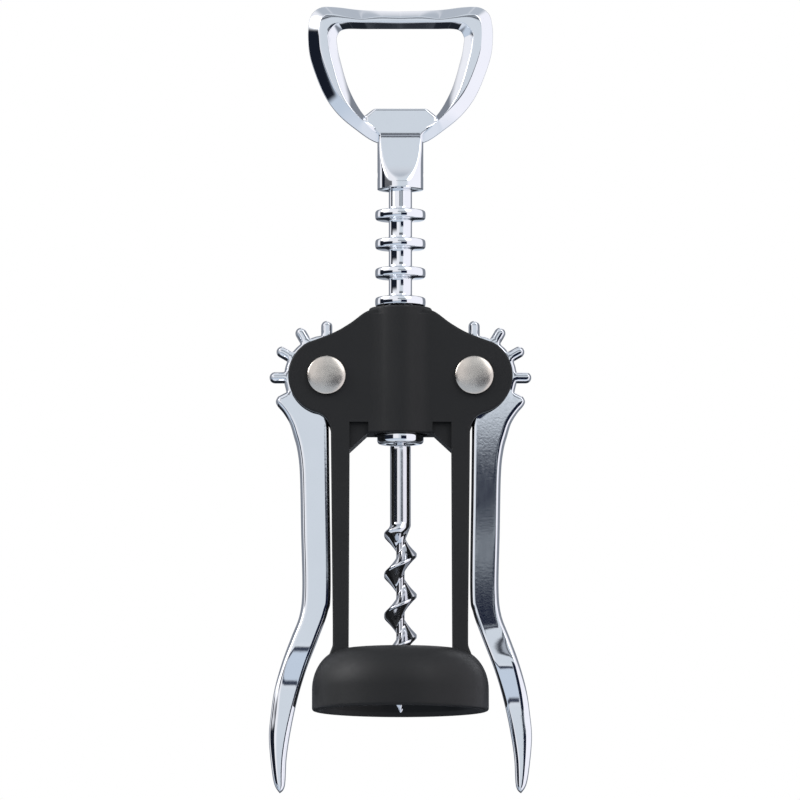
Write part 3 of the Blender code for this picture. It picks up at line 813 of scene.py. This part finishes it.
def make_rivet(side, sign):
    """The rivet's pin with its head in front, and the cap that closes it at the back."""
    face = PLATE_HALF + GAP
    head = dome(RIVET_HEAD_RADIUS, RIVET_HEAD_HEIGHT, face)
    pin = lathe(f"{side}_rivet_front", head + softened(
        [(RIVET_HEAD_RADIUS, face + 0.0004, 0.0), (RIVET_HEAD_RADIUS, face, 0.00015),
         (RIVET_PIN_RADIUS, face, 0.0001), (RIVET_PIN_RADIUS, -RIVET_END, 0.0003),
         (0.0, -RIVET_END, 0.0)])[1:])
    cap = lathe(f"{side}_rivet_back", dome(RIVET_HEAD_RADIUS, RIVET_HEAD_HEIGHT + 4 * GAP, face)
                + softened([(RIVET_HEAD_RADIUS, face + 0.0004, 0.0),
                            (RIVET_HEAD_RADIUS, face, 0.00015), (RIVET_HOLE_RADIUS, face, 0.0001),
                            (RIVET_HOLE_RADIUS, RIVET_END + GAP, 0.0002),
                            (0.0, RIVET_END + GAP, 0.0)])[1:])
    at = Matrix.Translation((sign * PIVOT_X, 0.0, PIVOT_Z))
    pin.data.transform(at @ Matrix.Rotation(math.pi / 2, 4, "X"))
    cap.data.transform(at @ Matrix.Rotation(-math.pi / 2, 4, "X"))
    for piece, node in ((pin, f"{side}_rivet_pin"), (cap, f"{side}_rivet_cap")):
        crisp(piece, 50)
        placed(piece, "frame", "satin_nickel", NICKEL, node)


# Spindle -------------------------------------------------------------------------------------

def make_rack():
    """The ringed rod: each ring has round edges and a fillet to the rod."""
    first = PIVOT_Z + RACK_OFFSET
    corners = [(0.0, RACK_HIGH, 0.0), (ROD_RADIUS, RACK_HIGH, 0.0003)]
    for i in reversed(RING_NUMBERS):
        z = first + RACK_PITCH * (i + 0.5)
        top, low = z + RING_THICKNESS / 2, z - RING_THICKNESS / 2
        corners += [(ROD_RADIUS, top, RING_EDGE),
                    (RING_RADIUS - 0.0001, top - 0.00005, RING_EDGE), (RING_RADIUS, z, 0.004),
                    (RING_RADIUS - 0.0001, low + 0.00005, RING_EDGE),
                    (ROD_RADIUS, low, RING_EDGE)]
    corners += [(ROD_RADIUS, RACK_LOW, 0.0003), (TAIL_HOLE_RADIUS, RACK_LOW, 0.0001),
                (TAIL_HOLE_RADIUS, TAIL_TOP + GAP, 0.0), (0.0, TAIL_TOP + GAP, 0.0)]
    rack = lathe("ringed_rack", softened(corners, 6), 128)
    rack.data.set_sharp_from_angle(angle=math.radians(50))
    placed(rack, "spindle", "chrome", CHROME, "rack")


def make_end_washer():
    """The disc under the housing: round at its lower edge, with a shallow recess below."""
    radius, _, top = WASHER_HIGH
    low = WASHER_LOW[2]
    recess = 0.0002
    collar = softened([(TAIL_HOLE_RADIUS, top, 0.0001), (radius, top, 0.0004),
                       (radius, low, 0.0013), (radius - 0.0020, low, 0.0002),
                       (radius - 0.0023, low + recess, 0.0002),
                       (TAIL_HOLE_RADIUS, low + recess, 0.0001)], 5, closed=True)
    washer = lathe("rack_end_disc", collar, 128, closed=True)
    washer.data.set_sharp_from_angle(angle=math.radians(50))
    placed(washer, "collar", "chrome", CHROME, "end_washer")


def worm_radius(angle, z):
    """Radius of the auger: one helical flight on a thin core, fading at the shank and the tip."""
    turn = ((z + WORM_START) / WORM_PITCH - angle / (2 * math.pi) + 0.5) % 1.0 - 0.5
    flank = max(0.0, abs(turn) - 0.03) / (WORM_FLANK - 0.03)
    ridge = max(0.0, 1.0 - flank) ** 1.25
    below = SHANK_BOTTOM - z
    core = WORM_CORE_RADIUS + (SHANK_RADIUS - WORM_CORE_RADIUS) * (1 - step(-0.0004, 0.0048, below))
    crest = SHANK_RADIUS + (WORM_RADIUS - SHANK_RADIUS) * step(-0.0004, 0.0022, below)
    taper = min(1.0, max(z - WORM_TIP, 0.0) / WORM_TAPER) ** 0.6
    return (core + (crest - core) * ridge) * taper


def make_worm():
    """The auger and its plain shank, with the thin tail that is pinned in the rack."""
    sides = 80
    angles = [2 * math.pi * i / sides for i in range(sides)]
    rows = 380
    rings = [[(0.0, 0.0, WORM_TIP)]]
    for k in range(1, rows + 1):
        z = WORM_TIP + (SHANK_BOTTOM + 0.0008 - WORM_TIP) * k / rows
        rings.append([(*polar(worm_radius(a, z), a), z) for a in angles])
    for radius, z in softened([(SHANK_RADIUS, SHANK_BOTTOM + 0.001, 0.0),
                               (SHANK_RADIUS, SHANK_TOP - 0.0012, 0.0),
                               (SHANK_RADIUS, SHANK_TOP, 0.0009), (TAIL_RADIUS, SHANK_TOP, 0.0001),
                               (TAIL_RADIUS, TAIL_TOP, 0.0002), (0.0, TAIL_TOP, 0.0)], 5):
        if radius > 0.0:
            rings.append([(*polar(radius, a), z) for a in angles])
    rings.append([(0.0, 0.0, TAIL_TOP)])
    worm = loft("worm_and_shank", rings)
    worm.data.set_sharp_from_angle(angle=math.radians(60))
    placed(worm, "spindle", "bright_steel", STEEL, "worm")


# Handle --------------------------------------------------------------------------------------

def reach_to(outline, angle):
    """Distance from the handle's centre to a closed outline, in one direction."""
    direction = Vector(polar(1.0, angle))
    side = Vector((-direction.y, direction.x))
    best = 0.0
    for a, b in zip(outline, outline[1:] + outline[:1]):
        p, q = a.dot(side), b.dot(side)
        if (p <= 0.0) != (q <= 0.0):
            at = a.lerp(b, p / (p - q))
            best = max(best, at.dot(direction))
    return best


def banded(radii, widths):
    """Radii moved in by widths that are measured square to the curve they describe."""
    count = len(radii)
    turn = 2 * math.pi / count
    moved = []
    for i, (radius, width) in enumerate(zip(radii, widths)):
        slope = (radii[(i + 1) % count] - radii[i - 1]) / (2 * turn * radius)
        moved.append(radius - width * math.sqrt(1 + slope * slope))
    return averaged(moved, 3)


def make_rim():
    """The D-shaped rim, with a wide bevel outside, a flat band and a bevel inside."""
    count = 600
    angles = [2 * math.pi * i / count for i in range(count)]
    centre = Vector((0.0, HANDLE_CENTRE))
    outer = [Vector(p) - centre for p in mirrored(smooth(HANDLE_RIM, 12))]
    inner = [Vector(p) - centre for p in mirrored(smooth(HANDLE_OPENING, 12))]
    outer = averaged([reach_to(outer, a) for a in angles], 2)
    inner = averaged([reach_to(inner, a) for a in angles], 2)
    from_top = [abs((a - math.pi / 2 + math.pi) % (2 * math.pi) - math.pi) for a in angles]
    from_top = [math.degrees(a) for a in from_top]
    bevels = [0.0017 + 0.0009 * step(20, 50, a) - 0.0008 * step(130, 165, a) for a in from_top]
    inside = [0.0011 + 0.0009 * step(54, 68, a) - 0.0006 * step(120, 150, a) for a in from_top]
    depths = [RIM_HALF - 0.0018 * step(146, 164, a) for a in from_top]
    band_out = banded(outer, bevels)
    band_in = banded(inner, [-width for width in inside])
    rings = []
    for i, angle in enumerate(angles):
        half = [(outer[i], RIM_EDGE_HALF, 0.0004), (band_out[i], depths[i], 0.0005),
                (band_in[i], depths[i], 0.0004), (inner[i], OPENING_EDGE_HALF, 0.0004)]
        corners = [(r, -y, soft) for r, y, soft in half] + list(reversed(half))
        ring = []
        for radius, y in softened(corners, 4, closed=True):
            x, z = polar(radius, angle)
            ring.append((x, y, HANDLE_CENTRE + z))
        rings.append(ring)
    return loft("bottle_opener_handle", rings, closed=True)


def neck_width(z):
    """Half-width of the neck and of the web above it, which the rim hides at its sides."""
    rise = min(max((z - WEB_TAPER_BOTTOM) / (LIP_TOP - WEB_TAPER_BOTTOM), 0.0), 1.0)
    web = WEB_WIDE + (WEB_NARROW - WEB_WIDE) * rise
    return NECK_RADIUS + (web - NECK_RADIUS) * step(NECK_FLARE_BOTTOM, NECK_FLARE_TOP, z)


def neck_ring(z, shrink, depth_limit):
    """Section of the neck: a round that two slanting flats cut, front and back."""
    quarter = []
    for i in range(25):
        angle = math.radians(90 * i / 24)
        x = (neck_width(z) - shrink) * math.cos(angle)
        y = soft_min((NECK_RADIUS - shrink) * math.sin(angle), depth_limit, 0.0006)
        quarter.append((x, max(y, 0.0)))
    half = quarter + [(-x, y) for x, y in reversed(quarter[:-1])]
    return [(x, y, z) for x, y in half + [(-x, -y) for x, y in half[1:-1]]]


def make_neck():
    """The neck and the web with its lip, as one casting that runs into the rim."""
    rings = [[(0.0, 0.0, LIP_TOP)]]
    for z, cut in softened([(LIP_TOP, 0.0008, 0.0), (LIP_TOP, 0.0, 0.00025),
                            (LIP_TOP - 0.0008, 0.0, 0.0)], 6)[1:-1]:
        rings.append(neck_ring(z, cut, WEB_HALF - cut))
    rows = 110
    for k in range(rows):
        z = LIP_TOP - 0.0006 + (NECK_BOTTOM + 0.0008 - LIP_TOP) * k / (rows - 1)
        rise = min(max((z - NECK_CUT_BOTTOM) / (NECK_CUT_TOP - NECK_CUT_BOTTOM), 0.0), 1.0)
        scoop = WEB_HALF + (NECK_RADIUS - WEB_HALF) * (1.0 - rise) ** SCOOP_POWER
        rings.append(neck_ring(z, 0.0, scoop))
    base = softened([(0.0, NECK_BOTTOM + 0.0002, 0.0), (0.0, NECK_BOTTOM, 0.00055),
                     (0.0010, NECK_BOTTOM, 0.0)], 7)
    for cut, z in base[1:]:
        rings.append(neck_ring(z, cut, 1.0))
    count = len(rings[-1])
    for radius, z in softened([(SOCKET_RADIUS + 0.0006, NECK_BOTTOM, 0.0),
                               (SOCKET_RADIUS, NECK_BOTTOM, 0.0002),
                               (SOCKET_RADIUS, RACK_HIGH + GAP, 0.0)], 4)[1:]:
        rings.append([(x, y, z) for x, y in circle((0.0, 0.0), radius, count)])
    rings.append([(0.0, 0.0, RACK_HIGH + GAP)])
    neck = loft("handle_neck", rings)
    pin_centre = (0.0, 0.0, HANDLE_PIN_LOW + PIN_RADIUS)
    hole = round_bar("pin_hole", PIN_HOLE_RADIUS, 0.0072, "X", pin_centre, 32)
    return booleans(neck, ("DIFFERENCE", hole))


def make_handle():
    """The rim and the neck joined in one casting."""
    handle = booleans(make_rim(), ("UNION", make_neck()))
    handle.data.shade_smooth()
    handle.data.set_sharp_from_angle(angle=math.radians(35))
    placed(handle, "spindle", "chrome", CHROME, "handle")


# Light, floor and camera ---------------------------------------------------------------------

# What surrounds the object in its light tent, as seen from it: (azimuth range, elevation range,
# softness, colour) in degrees, azimuth 0 in front, + to its right. Later entries cover earlier.
# GROUND_BOUNCE is the little light that comes up from below onto what isn't shiny.
TENT_WALL = (0.96, 0.96, 1.00)
GROUND_BOUNCE = (0.10, 0.10, 0.11)
TENT = (
    ((-9, 28), (-4, 55), 7.0, (0.70, 0.75, 0.81)),
    ((-181, 181), (55, 100), 8.0, (0.50, 0.54, 0.60)),
    ((-181, 181), (-91, -3), 2.0, (0.60, 0.68, 0.79)),
    ((-181, 181), (-91, -45), 12.0, (0.80, 0.84, 0.92)),
    ((28, 124), (-45, 50), 7.0, (1.02, 1.01, 1.08)),
    ((124, 168), (-45, 50), 4.0, (0.24, 0.26, 0.30)),
    ((-181, -125), (-40, 45), 5.0, (0.24, 0.26, 0.30)),
    ((-99, -62), (16, 42), 6.0, (7.0, 7.0, 7.1)),
    ((24, 50), (17, 54), 5.0, (3.0, 3.0, 3.05)),
    ((-97, -36), (-8, 9), 2.0, (0.010, 0.013, 0.022)),
    ((-107, -85), (-26, 14), 3.0, (0.010, 0.013, 0.022)),
    ((3, 30), (-11, 6.17), 0.10, (0.008, 0.012, 0.030)),
    ((3, 30), (5.24, 5.46), 0.16, (0.42, 0.46, 0.50)),
    ((-50, 2), (-4.0, -1.6), 0.8, (0.04, 0.05, 0.08)),
    ((-12, 24), (11.0, 15.0), 0.8, (0.04, 0.045, 0.06)),
    ((-9, 20), (12.4, 13.8), 0.5, (0.40, 0.43, 0.48)),
    ((150, 181), (-54, -8.0), 1.5, (0.015, 0.018, 0.025)),
    ((-181, -150), (-54, -8.0), 1.5, (0.015, 0.018, 0.025)),
)


def make_world():
    """A plain white studio for the camera, and the light tent for everything else."""
    world = bpy.data.worlds.new("studio")
    bpy.context.scene.world = world
    nodes = Nodes(world)
    background = nodes.tree.nodes["Background"]
    direction = nodes.add("SeparateXYZ")
    nodes.join(nodes.add("TexCoord").outputs["Generated"], direction.inputs[0])
    x, y, z = direction.outputs
    azimuth = nodes.math("DEGREES", nodes.math("ARCTAN2", x, nodes.math("MULTIPLY", y, -1.0)))
    elevation = nodes.math("DEGREES", nodes.math("ARCSINE", z))

    def band(value, limits, soft):
        edges = []
        for limit in limits:
            node = nodes.add("MapRange", interpolation_type="SMOOTHSTEP")
            nodes.join(value, node.inputs["Value"])
            node.inputs["From Min"].default_value = limit - soft
            node.inputs["From Max"].default_value = limit + soft
            edges.append(node.outputs["Result"])
        return nodes.math("SUBTRACT", *edges)

    colour = (*TENT_WALL, 1.0)
    for across, up, soft, shade in TENT:
        mask = nodes.math("MULTIPLY", band(azimuth, across, soft), band(elevation, up, soft))
        mix = nodes.add("Mix", data_type="RGBA")
        nodes.join(mask, mix.inputs["Factor"])
        nodes.join(colour, mix.inputs["A"])
        mix.inputs["B"].default_value = (*shade, 1.0)
        colour = mix.outputs["Result"]
    rays = nodes.add("LightPath").outputs
    ground = nodes.math("MULTIPLY", band(elevation, (-99, -3), 6.0), rays["Is Diffuse Ray"])
    shaded = nodes.add("Mix", data_type="RGBA")
    nodes.join(ground, shaded.inputs["Factor"])
    nodes.join(colour, shaded.inputs["A"])
    shaded.inputs["B"].default_value = (*GROUND_BOUNCE, 1.0)
    colour = shaded.outputs["Result"]
    seen = nodes.add("Mix", data_type="RGBA")
    nodes.join(rays["Is Camera Ray"], seen.inputs["Factor"])
    nodes.join(colour, seen.inputs["A"])
    seen.inputs["B"].default_value = (1.0, 1.0, 1.0, 1.0)
    nodes.join(seen.outputs["Result"], background.inputs["Color"])


def make_floor():
    """A pale floor, which is left out of the chrome's reflections and the light from below."""
    bm = bmesh.new()
    bmesh.ops.create_grid(bm, x_segments=1, y_segments=1, size=6.0)
    floor = mesh_object("floor", bm)
    floor.location.z = FLOOR_HEIGHT
    floor.visible_glossy = False
    floor.visible_diffuse = False
    mat = bpy.data.materials.new("floor_paper")
    shader = Nodes(mat).tree.nodes["Principled BSDF"]
    shader.inputs["Base Color"].default_value = (0.88, 0.88, 0.89, 1.0)
    shader.inputs["Roughness"].default_value = 0.9
    floor.data.materials.append(mat)


def make_lights():
    """Two soft area lights, left out of the reflections."""
    for name, place, size, power in (("key", (0.9, -1.1, 1.3), 0.9, 9.0),
                                     ("fill", (-1.2, -0.9, 0.7), 1.0, 4.0)):
        light = bpy.data.lights.new(name, "AREA")
        light.size = size
        light.energy = power
        obj = bpy.data.objects.new(name, light)
        bpy.context.scene.collection.objects.link(obj)
        obj.location = place
        obj.rotation_euler = (Vector(AIM) - Vector(place)).to_track_quat("-Z", "Y").to_euler()
        obj.visible_camera = False
        obj.visible_glossy = False


def make_camera():
    """The camera of the main view."""
    data = bpy.data.cameras.new("camera")
    data.lens = LENS
    data.clip_end = 50.0
    camera = bpy.data.objects.new("camera", data)
    bpy.context.scene.collection.objects.link(camera)
    camera.location = (0.0, -CAMERA_DISTANCE, CAMERA_HEIGHT)
    look = Vector(AIM) - Vector(camera.location)
    camera.rotation_euler = look.to_track_quat("-Z", "Y").to_euler()
    bpy.context.scene.camera = camera


def finish_cad_nodes():
    """The CAD nodes that stay as they are get the bright steel finish."""
    for name in ("left_front_washer", "left_rear_washer", "right_front_washer",
                 "right_rear_washer", "handle_pin", "worm_pin"):
        for slot in frame["nodes"][name].material_slots:
            slot.material = STEEL


make_frame()
make_lever("left", -1, LEFT_GRIP_TOP, 0.0)
make_lever("right", 1, RIGHT_GRIP_TOP, RIGHT_LEAN)
for rivet_side, rivet_sign in (("left", -1), ("right", 1)):
    make_rivet(rivet_side, rivet_sign)
make_rack()
make_end_washer()
make_worm()
make_handle()
finish_cad_nodes()
make_world()
make_floor()
make_lights()
make_camera()
bpy.context.scene.view_settings.view_transform = "Standard"
